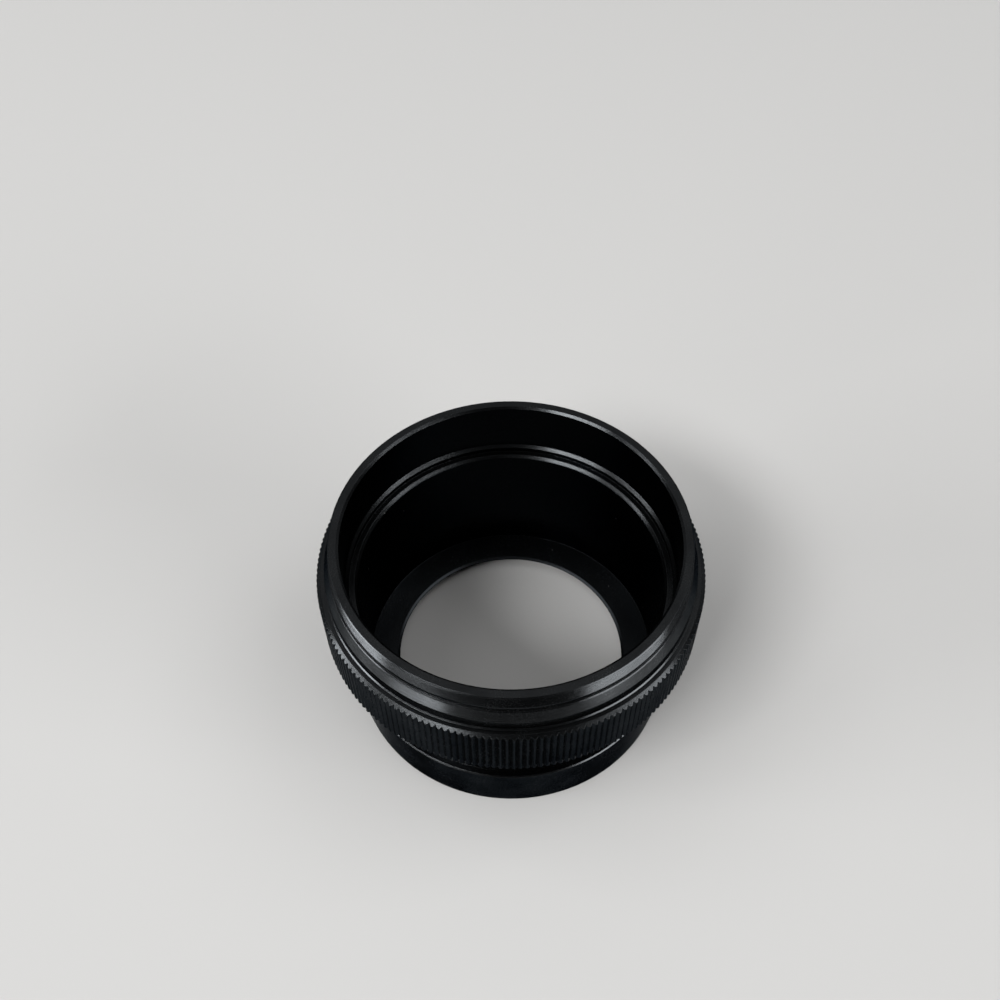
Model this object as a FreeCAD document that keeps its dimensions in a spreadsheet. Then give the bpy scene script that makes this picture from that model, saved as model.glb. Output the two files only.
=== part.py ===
"""Camera adapter for a spotting scope: one turned ring of black anodised aluminium.

Frame: millimetres, +Z up along the optical axis, origin at the centre of the base.
From the base up: a plain ring, a neck, a straight knurled grip, a sloped shoulder and a rim.
"""
import FreeCAD, Part
import math
import os
import Sketcher

# Driving sizes. Heights follow each other up the outside, radii step out from the socket.
SIZES = {
    # heights of the outside, from the base up
    "ring_height": 8.5,
    "neck_height": 11.4,
    "knurl_height": 9.8,
    "body_height": 1.95,
    "shoulder_height": 1.25,
    "collar_height": 0.57,
    "rim_height": 3.08,
    # eyepiece socket in the top, with a bevel and a seat at its foot
    "socket_radius": 26.1,
    "socket_depth": 9.15,
    "mouth_chamfer": 0.36,
    "bevel_run": 0.47,
    "bevel_height": 0.47,
    "seat_wall_height": 0.8,
    "seat_width": 0.85,
    "seat_edge_run": 0.47,
    "seat_edge_drop": 0.47,
    # rim, collar, sloped shoulder and body outside the socket
    "rim_wall": 1.5,
    "rim_edge_break": 0.17,
    "rim_taper_run": 0.08,
    "step_width": 0.21,
    "shoulder_run": 0.82,
    "body_foot_bevel": 0.2,
    "flange_width": 0.84,
    # straight knurl: one groove repeated round the grip
    "knurl_edge_run": 0.63,
    "knurl_edge_drop": 0.5,
    "tooth_count": 192,
    "tooth_depth": 0.35,
    "tooth_land": 0.25,
    # neck and lower ring round the bore
    "neck_wall": 1.14,
    "ring_step": 1.15,
    "ring_chamfer": 0.2,
    # filter socket in the base, and the lip with the light hole above it
    "ring_wall": 2.1,
    "filter_depth": 2.3,
    "filter_chamfer": 0.2,
    "lip_thickness": 0.95,
    "hole_radius": 19.4,
    "hole_edge_run": 0.4,
    "hole_edge_drop": 0.2,
    "hole_land": 0.15,
}

# Radii as sums of driving sizes.
RIM = "socket_radius + rim_wall"
RIM_EDGE = RIM + " + rim_edge_break"
TAPER_FOOT = RIM_EDGE + " + rim_taper_run"
COLLAR = TAPER_FOOT + " + step_width"
BODY = COLLAR + " + shoulder_run"
FLANGE = BODY + " + flange_width"
KNURL = FLANGE + " + knurl_edge_run"
SEAT_WALL = "socket_radius - bevel_run"
SEAT_EDGE = SEAT_WALL + " - seat_width"
BORE = SEAT_EDGE + " - seat_edge_run"
NECK = BORE + " + neck_wall"
RING = NECK + " + ring_step"
FILTER = RING + " - ring_wall"

# Heights as sums of driving sizes.
UNDERSIDE = "ring_height + neck_height"
FLANGE_TOP = UNDERSIDE + " + knurl_height"
SHOULDER_FOOT = FLANGE_TOP + " + body_height"
SHOULDER_TOP = SHOULDER_FOOT + " + shoulder_height"
LEDGE = SHOULDER_TOP + " + collar_height"
TOP = LEDGE + " + rim_height"
SOCKET_FOOT = TOP + " - socket_depth"
BEVEL_FOOT = SOCKET_FOOT + " - bevel_height"
SEAT = BEVEL_FOOT + " - seat_wall_height"
LIP_TOP = "filter_depth + lip_thickness"
HOLE_LAND = "filter_depth + hole_land"

# Half section of the ring, up the outside and down the inside.
HALF_SECTION = [
    (RING + " - ring_chamfer", ""),
    (RING, "ring_chamfer"),
    (RING, "ring_height - ring_chamfer"),
    (RING + " - ring_chamfer", "ring_height"),
    (NECK, "ring_height"),
    (NECK, UNDERSIDE),
    (KNURL, UNDERSIDE),
    (KNURL, FLANGE_TOP + " - knurl_edge_drop"),
    (FLANGE, FLANGE_TOP),
    (BODY + " + body_foot_bevel", FLANGE_TOP),
    (BODY, FLANGE_TOP + " + body_foot_bevel"),
    (BODY, SHOULDER_FOOT),
    (COLLAR, SHOULDER_TOP),
    (COLLAR, LEDGE),
    (TAPER_FOOT, LEDGE),
    (RIM_EDGE, TOP + " - rim_edge_break"),
    (RIM, TOP),
    ("socket_radius + mouth_chamfer", TOP),
    ("socket_radius", TOP + " - mouth_chamfer"),
    ("socket_radius", SOCKET_FOOT),
    (SEAT_WALL, BEVEL_FOOT),
    (SEAT_WALL, SEAT),
    (SEAT_EDGE, SEAT),
    (BORE, SEAT + " - seat_edge_drop"),
    (BORE, LIP_TOP),
    ("hole_radius + hole_edge_run", HOLE_LAND + " + hole_edge_drop"),
    ("hole_radius", HOLE_LAND),
    ("hole_radius", "filter_depth"),
    (FILTER, "filter_depth"),
    (FILTER, "filter_chamfer"),
    (FILTER + " + filter_chamfer", ""),
]


def total(sum_text):
    """Value of a sum of named sizes, such as "ring_height - ring_chamfer"."""
    value = 0.0
    sign = 1.0
    for word in sum_text.split():
        if word == "+":
            sign = 1.0
        elif word == "-":
            sign = -1.0
        else:
            value += sign * SIZES[word]
    return value


def bound(sum_text):
    """The same sum as an expression on the sheet of sizes."""
    return " ".join(word if word in "+-" else "Sizes." + word for word in sum_text.split())


def make_sheet(doc):
    """Sheet of the driving sizes, one alias each."""
    sheet = doc.addObject("Spreadsheet::Sheet", "Sizes")
    for row, (name, value) in enumerate(SIZES.items(), start=1):
        sheet.set(f"A{row}", name)
        sheet.set(f"B{row}", str(value))
        sheet.setAlias(f"B{row}", name)
    doc.recompute()
    return sheet


def plane(body, role):
    """One of the body's own origin planes."""
    return next(item for item in body.Origin.OriginFeatures if item.Role == role)


def new_sketch(body, name, role):
    sketch = body.newObject("Sketcher::SketchObject", name)
    sketch.AttachmentSupport = (plane(body, role), [""])
    sketch.MapMode = "FlatFace"
    return sketch


def add_polygon(sketch, corners):
    """Closed outline of straight lines through the corners, joined end to end."""
    for index, corner in enumerate(corners):
        following = corners[(index + 1) % len(corners)]
        line = Part.LineSegment(FreeCAD.Vector(*corner, 0), FreeCAD.Vector(*following, 0))
        sketch.addGeometry(line, False)
    for index in range(len(corners)):
        joint = Sketcher.Constraint("Coincident", index, 2, (index + 1) % len(corners), 1)
        sketch.addConstraint(joint)


def bind_distance(sketch, kind, corner, value, expression):
    """Distance of a line's start point from the sketch's origin, tied to an expression."""
    index = sketch.addConstraint(Sketcher.Constraint(kind, -1, 1, corner, 1, value))
    sketch.setExpression(f"Constraints[{index}]", expression)


def make_blank(body):
    """The whole turned form, revolved from its half section about the optical axis."""
    sketch = new_sketch(body, "HalfSection", "XZ_Plane")
    add_polygon(sketch, [(total(radius), total(height)) for radius, height in HALF_SECTION])
    for corner, (radius, height) in enumerate(HALF_SECTION):
        bind_distance(sketch, "DistanceX", corner, total(radius), bound(radius))
        if height:
            bind_distance(sketch, "DistanceY", corner, total(height), bound(height))
        else:
            sketch.addConstraint(Sketcher.Constraint("PointOnObject", corner, 1, -1))
    blank = body.newObject("PartDesign::Revolution", "Blank")
    blank.Profile = sketch
    blank.ReferenceAxis = (sketch, ["V_Axis"])
    blank.Angle = 360.0
    return blank


def make_knurl(doc, body):
    """One V groove down the grip, repeated round it."""
    doc.recompute()
    sketch = new_sketch(body, "KnurlGroove", "XY_Plane")
    sketch.setExpression("AttachmentOffset.Base.z", bound(FLANGE_TOP))
    pitch = 2 * math.pi * total(KNURL) / SIZES["tooth_count"]
    root = total(KNURL) - SIZES["tooth_depth"]
    outside = total(KNURL) + SIZES["tooth_depth"]
    half_width = pitch - SIZES["tooth_land"]
    add_polygon(sketch, [(root, 0), (outside, -half_width), (outside, half_width)])
    sketch.addConstraint(Sketcher.Constraint("PointOnObject", 0, 1, -1))
    sketch.addConstraint(Sketcher.Constraint("Symmetric", 1, 1, 2, 1, -1))
    bind_distance(sketch, "DistanceX", 0, root, bound(KNURL) + " - Sizes.tooth_depth")
    bind_distance(sketch, "DistanceX", 2, outside, bound(KNURL) + " + Sizes.tooth_depth")
    width = f"2 * pi * ({bound(KNURL)}) / Sizes.tooth_count - Sizes.tooth_land"
    bind_distance(sketch, "DistanceY", 2, half_width, width)

    groove = body.newObject("PartDesign::Pocket", "Groove")
    groove.Profile = sketch
    groove.setExpression("Length", "Sizes.knurl_height")
    doc.recompute()

    knurl = body.newObject("PartDesign::PolarPattern", "Knurl")
    knurl.Originals = [groove]
    knurl.Axis = (sketch, ["N_Axis"])
    knurl.Angle = 360.0
    knurl.setExpression("Occurrences", "Sizes.tooth_count")
    body.Tip = knurl
    return groove, knurl


def make_adapter(doc):
    body = doc.addObject("PartDesign::Body", "AdapterBody")
    body.Label = "adapter_body"
    blank = make_blank(body)
    groove, knurl = make_knurl(doc, body)
    doc.recompute()
    one_cut = blank.Shape.Volume - groove.Shape.Volume
    all_cuts = blank.Shape.Volume - knurl.Shape.Volume
    if one_cut <= 0 or abs(all_cuts / one_cut - SIZES["tooth_count"]) > 1:
        raise RuntimeError(f"knurl cuts {all_cuts:.3f} mm3, one groove {one_cut:.4f} mm3")
    print(f"volume: blank {blank.Shape.Volume:.1f}, with knurl {knurl.Shape.Volume:.1f} mm3")
    return body


def check_document(doc, body):
    """Stops before anything is written if a feature or the solid failed."""
    for item in doc.Objects:
        if "Invalid" in item.State or "Error" in item.State:
            raise RuntimeError(f"{item.Name} failed: {item.State}")
    shape = body.Shape
    if shape.isNull() or not shape.isValid() or len(shape.Solids) != 1:
        raise RuntimeError(f"{body.Label} is not one valid solid")


def main():
    doc = FreeCAD.newDocument("CameraAdapter")
    make_sheet(doc)
    adapter = make_adapter(doc)
    check_document(doc, adapter)
    os.makedirs("parts", exist_ok=True)
    adapter.Shape.exportStep(os.path.join("parts", adapter.Label + ".step"))
    box = adapter.Shape.BoundBox
    print(f"size: {box.XLength:.2f} x {box.YLength:.2f} x {box.ZLength:.2f} mm")


main()
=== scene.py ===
"""Looks of the camera adapter: its black anodised finish, the fine filter thread, light and camera."""
import math

import bmesh
import bpy
from mathutils import Matrix, Vector


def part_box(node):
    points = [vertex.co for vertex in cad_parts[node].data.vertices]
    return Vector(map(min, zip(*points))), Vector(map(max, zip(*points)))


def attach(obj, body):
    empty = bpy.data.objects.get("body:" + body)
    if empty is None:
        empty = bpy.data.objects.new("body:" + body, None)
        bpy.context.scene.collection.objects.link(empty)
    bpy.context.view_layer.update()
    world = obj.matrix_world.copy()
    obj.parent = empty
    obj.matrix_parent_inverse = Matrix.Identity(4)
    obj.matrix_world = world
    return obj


MM = 0.001
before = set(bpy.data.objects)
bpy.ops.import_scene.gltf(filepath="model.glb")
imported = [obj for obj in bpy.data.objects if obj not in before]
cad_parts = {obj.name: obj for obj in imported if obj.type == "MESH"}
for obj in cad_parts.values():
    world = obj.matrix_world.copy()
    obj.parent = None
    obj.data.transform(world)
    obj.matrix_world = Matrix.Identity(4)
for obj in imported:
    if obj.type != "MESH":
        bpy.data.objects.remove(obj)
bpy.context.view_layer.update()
rim_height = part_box("adapter_body")[1][2]

# Camera, placed from the centre of the rim's top plane and looking down by its pitch.
IMAGE_WIDTH_PX = 1000
FOCAL_LENGTH_PX = 1093.5
SENSOR_WIDTH_MM = 36.0
CAMERA_BACK = 98.2 * MM
CAMERA_ABOVE_RIM = 133.54 * MM
CAMERA_PITCH = math.radians(51.87)
CAMERA_YAW = math.radians(0.56)
CAMERA_CLIP_START = 10.0 * MM

# Female filter thread in the base: 49 mm across its roots, 0.75 mm pitch.
THREAD_ROOT_RADIUS = 24.5 * MM
THREAD_DEPTH = 0.4 * MM
THREAD_PITCH = 0.75 * MM
THREAD_START = 0.52 * MM
THREAD_TURNS = 2.0
THREAD_STEPS_PER_TURN = 144
THREAD_RUNOUT_TURNS = 0.12
THREAD_ROOT_HALF_WIDTH = 0.32 * MM
THREAD_CREST_HALF_WIDTH = 0.06 * MM
THREAD_SINK = 0.03 * MM

# Colours of the finish.
ANODISE_DARK = (0.031, 0.033, 0.035, 1.0)
ANODISE_LIGHT = (0.0485, 0.0515, 0.054, 1.0)
ANODISE_EDGE_TINT = (0.29, 0.30, 0.31, 1.0)
WORN_EDGE = (0.16, 0.16, 0.165, 1.0)
DUST = (0.30, 0.29, 0.27, 1.0)
# Painted shade for the inside of the bore: darker colours for its inward walls and its lip.
BORE_WALL_PAINTED_SHADE = (0.009, 0.010, 0.011, 1.0)
BORE_LIP_PAINTED_SHADE = (0.018, 0.020, 0.022, 1.0)

# Painted shade inside the bore: the lip is coloured darker within a radius just past the bore, and so are
# walls whose normal points at the axis.
LIP_SHADE_RADIUS = 24.4 * MM
NORMAL_AT_AXIS = -0.9

# Patterns of the finish: how large they are, how deep as bumps, and how strongly they show.
GRAIN_SIZE = 0.22 * MM
GRAIN_DETAIL = 3.0
GRAIN_DEPTH = 0.016 * MM
GRAIN_IN_TONE = 0.5
CLOUD_SIZE = 5.0 * MM
CLOUD_DETAIL = 4.0
CLOUDS_IN_TONE = 0.5
MARK_SIZE = 0.16 * MM
MARK_DETAIL = 2.0
MARK_DEPTH = 0.010 * MM
MARKS_BY_RADIUS = 0.7
BUMP_STRENGTH = 0.35
EDGE_REACH = 0.16 * MM
EDGE_SAMPLES = 8
EDGE_WEAR = 0.55
EDGE_ROUNDING = 0.08 * MM
ROUNDING_SAMPLES = 6
SPECK_SPACING = 2.6 * MM
SPECKS_LEFT_OUT = 0.86
DUST_COVER = 0.5
DUST_ROUGHNESS = 0.3
ANISOTROPY = 0.5
ANISOTROPY_TURNED = 0.25

# Ramps of the finish: the value at the start and at the end, then the result at the start and at the end.
EDGE_RAMP = (0.62, 0.35, 0.0, 1.0)
WEAR_RAMP = (0.40, 0.62, 0.25, 1.0)
SPECK_RAMP = (0.045, 0.02, 0.0, 1.0)
TONE_RAMP = (0.35, 0.65, 0.0, 1.0)
CLOUD_ROUGHNESS_RAMP = (0.3, 0.7, 0.21, 0.25)
GRAIN_ROUGHNESS_RAMP = (0.3, 0.7, -0.03, 0.05)

# Fine grooves turned into the outer walls of rim and collar: each has a long flank that faces up.
# The foot of the rim's wall is plain. A tilt is added to the height of a wall's normal.
RIM_GROOVE_FOOT = rim_height - 2.5 * MM
RIM_INNER_RADIUS = 27.5 * MM
COLLAR_FOOT = rim_height - 3.65 * MM
COLLAR_INNER_RADIUS = 27.95 * MM
WALL_NORMAL_LIMIT = 0.3
GROOVE_PITCH = 0.25 * MM
GROOVE_LONG_SHARE = 0.78
GROOVE_LONG_TILT = 0.9
GROOVE_SHORT_TILT = -1.6

# Studio: a pale floor, lamps, and a dim room. The room's limits are parts of a direction of length 1:
# the horizon's are its height, and the front's are its part along Y.
FLOOR_COLOUR = (0.56, 0.556, 0.548, 1.0)
FLOOR_ROUGHNESS = 0.9
FLOOR_SPECULAR = 0.1
FLOOR_HALF_WIDTH = 1.5
SKY_COLOUR = (0.043, 0.044, 0.045, 1.0)
HORIZON_COLOUR = (0.56, 0.56, 0.56, 1.0)
HORIZON_PALE_UP_TO = 0.07
HORIZON_FADED_AT = 0.22
FRONT_DIM_AT = -0.97
FRONT_PALE_AT = -0.80
LAMP_DISTANCE = 2.0
LAMP_AIM_HEIGHT = 0.75 * rim_height
# Power of an area lamp for each square metre and each unit of radiance.
LAMP_POWER_FACTOR = 4


class Tree:
    """Node tree of a material or the world, with one call per node."""

    def __init__(self, owner):
        owner.use_nodes = True
        self.nodes = owner.node_tree.nodes
        self.links = owner.node_tree.links
        self.nodes.clear()

    def add(self, kind, inputs=None, **settings):
        """New node. An input is a plain value or another node's output socket."""
        node = self.nodes.new(kind)
        for name, value in settings.items():
            setattr(node, name, value)
        for name, value in (inputs or {}).items():
            if isinstance(value, bpy.types.NodeSocket):
                self.links.new(value, node.inputs[name])
            else:
                node.inputs[name].default_value = value
        return node

    def math(self, operation, first, second=0.0):
        """Result of an operation on one or two numbers."""
        return self.add("ShaderNodeMath", {0: first, 1: second}, operation=operation).outputs[0]

    def split(self, vector):
        """The three parts of a vector."""
        return self.add("ShaderNodeSeparateXYZ", {0: vector}).outputs

    def ramp(self, value, start, end, low=0.0, high=1.0):
        """Straight change from low to high while the value goes from start to end."""
        node = self.add(
            "ShaderNodeMapRange",
            {"Value": value, "From Min": start, "From Max": end, "To Min": low, "To Max": high},
        )
        return node.outputs[0]

    def mix(self, factor, first, second):
        """Colour that goes from the first to the second while the factor goes from 0 to 1."""
        # Inputs 6 and 7 and output 2 are the ones for colours.
        node = self.add("ShaderNodeMix", {0: factor, 6: first, 7: second}, data_type="RGBA")
        return node.outputs[2]

    def noise(self, vector, feature_size, detail):
        """Even noise from 0 to 1 whose patches are about feature_size across, in metres."""
        node = self.add(
            "ShaderNodeTexNoise",
            {"Vector": vector, "Scale": 1.0 / feature_size, "Detail": detail},
        )
        return node.outputs[0]

    def bump(self, pattern, depth, normal):
        """The normal turned by a pattern of heights, depth in metres."""
        node = self.add(
            "ShaderNodeBump",
            {"Height": pattern, "Strength": BUMP_STRENGTH, "Distance": depth, "Normal": normal},
        )
        return node.outputs[0]

    def surface(self, output_kind, shader):
        """Shows the shader as the surface of the tree's owner."""
        self.add(output_kind, {"Surface": shader.outputs[0]})


def axis_distance(tree, place):
    """Distance from the optical axis."""
    squares = tree.math("ADD", tree.math("POWER", place[0], 2.0), tree.math("POWER", place[1], 2.0))
    return tree.math("SQRT", squares)


def inside_walls(tree, place, radius, normal):
    """1 on the upright walls that face the optical axis, else 0."""
    across = tree.math("MULTIPLY", normal[0], place[0])
    along = tree.math("MULTIPLY", normal[1], place[1])
    outward = tree.math("DIVIDE", tree.math("ADD", across, along), radius)
    return tree.math("LESS_THAN", outward, NORMAL_AT_AXIS)


def above_and_outside(tree, height, foot, radius, inner_radius):
    """1 above the foot and outside the inner radius, else 0."""
    above = tree.math("GREATER_THAN", height, foot)
    outside = tree.math("GREATER_THAN", radius, inner_radius)
    return tree.math("MULTIPLY", above, outside)


def groove_tilt(tree, radius, height, normal):
    """How far the fine grooves turn the normal of a wall upwards; 0 off the grooved walls."""
    upright = tree.math("LESS_THAN", tree.math("ABSOLUTE", normal[2]), WALL_NORMAL_LIMIT)
    rim = above_and_outside(tree, height, RIM_GROOVE_FOOT, radius, RIM_INNER_RADIUS)
    collar = above_and_outside(tree, height, COLLAR_FOOT, radius, COLLAR_INNER_RADIUS)
    on_wall = tree.math("MULTIPLY", upright, tree.math("MAXIMUM", rim, collar))
    in_groove = tree.math("FRACT", tree.math("MULTIPLY", height, 1.0 / GROOVE_PITCH))
    short = tree.math("GREATER_THAN", in_groove, GROOVE_LONG_SHARE)
    tilt = tree.ramp(short, 0.0, 1.0, GROOVE_LONG_TILT, GROOVE_SHORT_TILT)
    return tree.math("MULTIPLY", on_wall, tilt)


def tool_marks(tree, radius, height):
    """Noise in rings round the axis, on flat faces and upright walls alike."""
    across_rings = tree.math("ADD", tree.math("MULTIPLY", radius, MARKS_BY_RADIUS), height)
    node = tree.add(
        "ShaderNodeTexNoise",
        {"W": across_rings, "Scale": 1.0 / MARK_SIZE, "Detail": MARK_DETAIL},
        noise_dimensions="1D",
    )
    return node.outputs[0]


def worn_edges(tree, clouds):
    """How far an outer edge is rubbed bright, unevenly along it; 0 off the edges."""
    node = tree.add(
        "ShaderNodeAmbientOcclusion",
        {"Distance": EDGE_REACH},
        inside=True,
        only_local=True,
        samples=EDGE_SAMPLES,
    )
    convex = tree.ramp(node.outputs["AO"], *EDGE_RAMP)
    return tree.math("MULTIPLY", convex, tree.ramp(clouds, *WEAR_RAMP))


def dust_specks(tree, position):
    """1 on a few small specks, fading to 0 round them."""
    specks = tree.add("ShaderNodeTexVoronoi", {"Vector": position, "Scale": 1.0 / SPECK_SPACING}).outputs
    chance = tree.add("ShaderNodeSeparateColor", {0: specks["Color"]}).outputs[0]
    chosen = tree.math("GREATER_THAN", chance, SPECKS_LEFT_OUT)
    return tree.math("MULTIPLY", tree.ramp(specks["Distance"], *SPECK_RAMP), chosen)


def grooved_normal(tree, radius, height, normal):
    """Normal with slightly rounded edges and the fine grooves of the walls."""
    rounded = tree.add("ShaderNodeBevel", {"Radius": EDGE_ROUNDING}, samples=ROUNDING_SAMPLES).outputs[0]
    upwards = groove_tilt(tree, radius, height, normal)
    tilt = tree.add("ShaderNodeCombineXYZ", {"Z": upwards}).outputs[0]
    tilted = tree.add("ShaderNodeVectorMath", {0: rounded, 1: tilt}, operation="ADD").outputs[0]
    return tree.add("ShaderNodeVectorMath", {0: tilted}, operation="NORMALIZE").outputs[0]


def black_anodised():
    """Bead-blasted turned aluminium, dyed black: satin, faint tool marks, bright edges; painted shade in the
    bore.
    """
    material = bpy.data.materials.new("black_anodised")
    tree = Tree(material)
    position = tree.add("ShaderNodeTexCoord").outputs["Object"]
    place = tree.split(position)
    normal = tree.split(tree.add("ShaderNodeNewGeometry").outputs["Normal"])
    radius = axis_distance(tree, place)
    height = place[2]
    grain = tree.noise(position, GRAIN_SIZE, GRAIN_DETAIL)
    clouds = tree.noise(position, CLOUD_SIZE, CLOUD_DETAIL)
    dust = dust_specks(tree, position)

    tone = tree.math(
        "ADD",
        tree.math("MULTIPLY", clouds, CLOUDS_IN_TONE),
        tree.math("MULTIPLY", grain, GRAIN_IN_TONE),
    )
    colour = tree.mix(tree.ramp(tone, *TONE_RAMP), ANODISE_DARK, ANODISE_LIGHT)
    # Painted shade: the lip and the walls that face the axis are coloured darker.
    colour = tree.mix(tree.math("LESS_THAN", radius, LIP_SHADE_RADIUS), colour, BORE_LIP_PAINTED_SHADE)
    colour = tree.mix(inside_walls(tree, place, radius, normal), colour, BORE_WALL_PAINTED_SHADE)
    colour = tree.mix(tree.math("MULTIPLY", worn_edges(tree, clouds), EDGE_WEAR), colour, WORN_EDGE)
    colour = tree.mix(tree.math("MULTIPLY", dust, DUST_COVER), colour, DUST)

    roughness = tree.ramp(clouds, *CLOUD_ROUGHNESS_RAMP)
    roughness = tree.math("ADD", roughness, tree.ramp(grain, *GRAIN_ROUGHNESS_RAMP))
    roughness = tree.math("ADD", roughness, tree.math("MULTIPLY", dust, DUST_ROUGHNESS))

    grooved = grooved_normal(tree, radius, height, normal)
    marked = tree.bump(tool_marks(tree, radius, height), MARK_DEPTH, grooved)
    blasted = tree.bump(grain, GRAIN_DEPTH, marked)

    shader = tree.add(
        "ShaderNodeBsdfPrincipled",
        {
            "Base Color": colour,
            "Roughness": roughness,
            "Normal": blasted,
            "Metallic": tree.math("SUBTRACT", 1.0, dust),
            "Specular Tint": ANODISE_EDGE_TINT,
            "Anisotropic": ANISOTROPY,
            "Anisotropic Rotation": ANISOTROPY_TURNED,
            "Tangent": tree.add("ShaderNodeTangent", direction_type="RADIAL", axis="Z").outputs[0],
        },
    )
    tree.surface("ShaderNodeOutputMaterial", shader)
    return material


def thread_section(turn):
    """Root and crest of the thread's ridge at a turn, which runs out to nothing at both ends."""
    from_end = min(turn, THREAD_TURNS - turn)
    grown = min(1.0, from_end / THREAD_RUNOUT_TURNS)
    middle = THREAD_START + THREAD_PITCH * turn
    root = THREAD_ROOT_RADIUS + THREAD_SINK
    crest = THREAD_ROOT_RADIUS - THREAD_DEPTH * grown
    return [
        (root, middle - THREAD_ROOT_HALF_WIDTH),
        (crest, middle - THREAD_CREST_HALF_WIDTH),
        (crest, middle + THREAD_CREST_HALF_WIDTH),
        (root, middle + THREAD_ROOT_HALF_WIDTH),
    ]


def filter_thread(material):
    """The ridge of the fine thread, wound up the wall of the filter socket."""
    mesh = bmesh.new()
    steps = round(THREAD_TURNS * THREAD_STEPS_PER_TURN)
    rows = []
    for step in range(steps + 1):
        turn = THREAD_TURNS * step / steps
        angle = 2 * math.pi * turn
        row = []
        for radius, height in thread_section(turn):
            row.append(mesh.verts.new((radius * math.cos(angle), radius * math.sin(angle), height)))
        rows.append(row)
    for row, following in zip(rows, rows[1:]):
        for side in range(len(row)):
            other = (side + 1) % len(row)
            mesh.faces.new((row[side], following[side], following[other], row[other]))
    mesh.faces.new(rows[0])
    mesh.faces.new(reversed(rows[-1]))
    bmesh.ops.recalc_face_normals(mesh, faces=mesh.faces)
    data = bpy.data.meshes.new("filter_thread")
    mesh.to_mesh(data)
    mesh.free()
    piece = bpy.data.objects.new("filter_thread", data)
    bpy.context.scene.collection.objects.link(piece)
    data.materials.append(material)
    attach(piece, "root")


def floor():
    """Plain pale floor under the object."""
    material = bpy.data.materials.new("pale_floor")
    tree = Tree(material)
    shader = tree.add(
        "ShaderNodeBsdfPrincipled",
        {
            "Base Color": FLOOR_COLOUR,
            "Roughness": FLOOR_ROUGHNESS,
            "Specular IOR Level": FLOOR_SPECULAR,
        },
    )
    tree.surface("ShaderNodeOutputMaterial", shader)
    data = bpy.data.meshes.new("floor")
    side = FLOOR_HALF_WIDTH
    corners = [(-side, -side, 0), (side, -side, 0), (side, side, 0), (-side, side, 0)]
    data.from_pydata(corners, [], [(0, 1, 2, 3)])
    data.materials.append(material)
    piece = bpy.data.objects.new("floor", data)
    bpy.context.scene.collection.objects.link(piece)


def lamp(name, bearing, elevation, width, height, radiance):
    """Soft rectangular lamp aimed at the object, its width and height as shares of its distance.

    Bearing and elevation are in degrees, and the bearing goes from +Y round by +X.
    """
    turned = math.radians(bearing)
    raised = math.radians(elevation)
    level = math.cos(raised)
    away = Vector((math.sin(turned) * level, math.cos(turned) * level, math.sin(raised)))
    data = bpy.data.lights.new(name, "AREA")
    data.shape = "RECTANGLE"
    data.size = width * LAMP_DISTANCE
    data.size_y = height * LAMP_DISTANCE
    data.energy = LAMP_POWER_FACTOR * data.size * data.size_y * radiance
    piece = bpy.data.objects.new(name, data)
    piece.location = Vector((0, 0, LAMP_AIM_HEIGHT)) + LAMP_DISTANCE * away
    piece.rotation_euler = away.to_track_quat("Z", "Y").to_euler()
    piece.visible_camera = False
    bpy.context.scene.collection.objects.link(piece)


def room():
    """Dim room round the object, pale near the horizon except at the front, towards -Y."""
    world = bpy.data.worlds.new("studio")
    tree = Tree(world)
    direction = tree.split(tree.add("ShaderNodeTexCoord").outputs["Generated"])
    low_down = tree.ramp(direction[2], HORIZON_FADED_AT, HORIZON_PALE_UP_TO)
    off_front = tree.ramp(direction[1], FRONT_DIM_AT, FRONT_PALE_AT)
    colour = tree.mix(tree.math("MULTIPLY", low_down, off_front), SKY_COLOUR, HORIZON_COLOUR)
    tree.surface("ShaderNodeOutputWorld", tree.add("ShaderNodeBackground", {"Color": colour}))
    bpy.context.scene.world = world


def studio():
    """Lamps that draw the highlights on the walls, weaker ones that fill in, the room and the tone scale."""
    lamp("left_window", bearing=259, elevation=14, width=0.475, height=0.225, radiance=13.0)
    lamp("left_high", bearing=224, elevation=46, width=0.45, height=0.213, radiance=15.0)
    lamp("left_low", bearing=225, elevation=6, width=0.475, height=0.138, radiance=11.0)
    lamp("right_window", bearing=121, elevation=17, width=0.75, height=0.35, radiance=6.5)
    lamp("left_fill", bearing=278, elevation=56, width=0.625, height=0.50, radiance=1.8)
    lamp("right_fill", bearing=82, elevation=56, width=0.625, height=0.50, radiance=1.8)
    lamp("back_fill", bearing=0, elevation=54, width=1.125, height=0.563, radiance=0.24)
    lamp("overhead", bearing=0, elevation=88, width=0.625, height=0.625, radiance=0.4)
    room()
    bpy.context.scene.view_settings.view_transform = "Standard"


def camera():
    """Camera in front of the object and above it."""
    data = bpy.data.cameras.new("camera")
    data.sensor_width = SENSOR_WIDTH_MM
    data.lens = SENSOR_WIDTH_MM * FOCAL_LENGTH_PX / IMAGE_WIDTH_PX
    data.clip_start = CAMERA_CLIP_START
    view = bpy.data.objects.new("camera", data)
    stand = Matrix.Translation((0, -CAMERA_BACK, rim_height + CAMERA_ABOVE_RIM))
    tilt = Matrix.Rotation(math.pi / 2 - CAMERA_PITCH, 4, "X")
    pan = Matrix.Rotation(CAMERA_YAW, 4, "Y")
    view.matrix_world = stand @ tilt @ pan
    bpy.context.scene.collection.objects.link(view)
    bpy.context.scene.camera = view


finish = black_anodised()
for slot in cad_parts["adapter_body"].material_slots:
    slot.material = finish
filter_thread(finish)
floor()
studio()
camera()
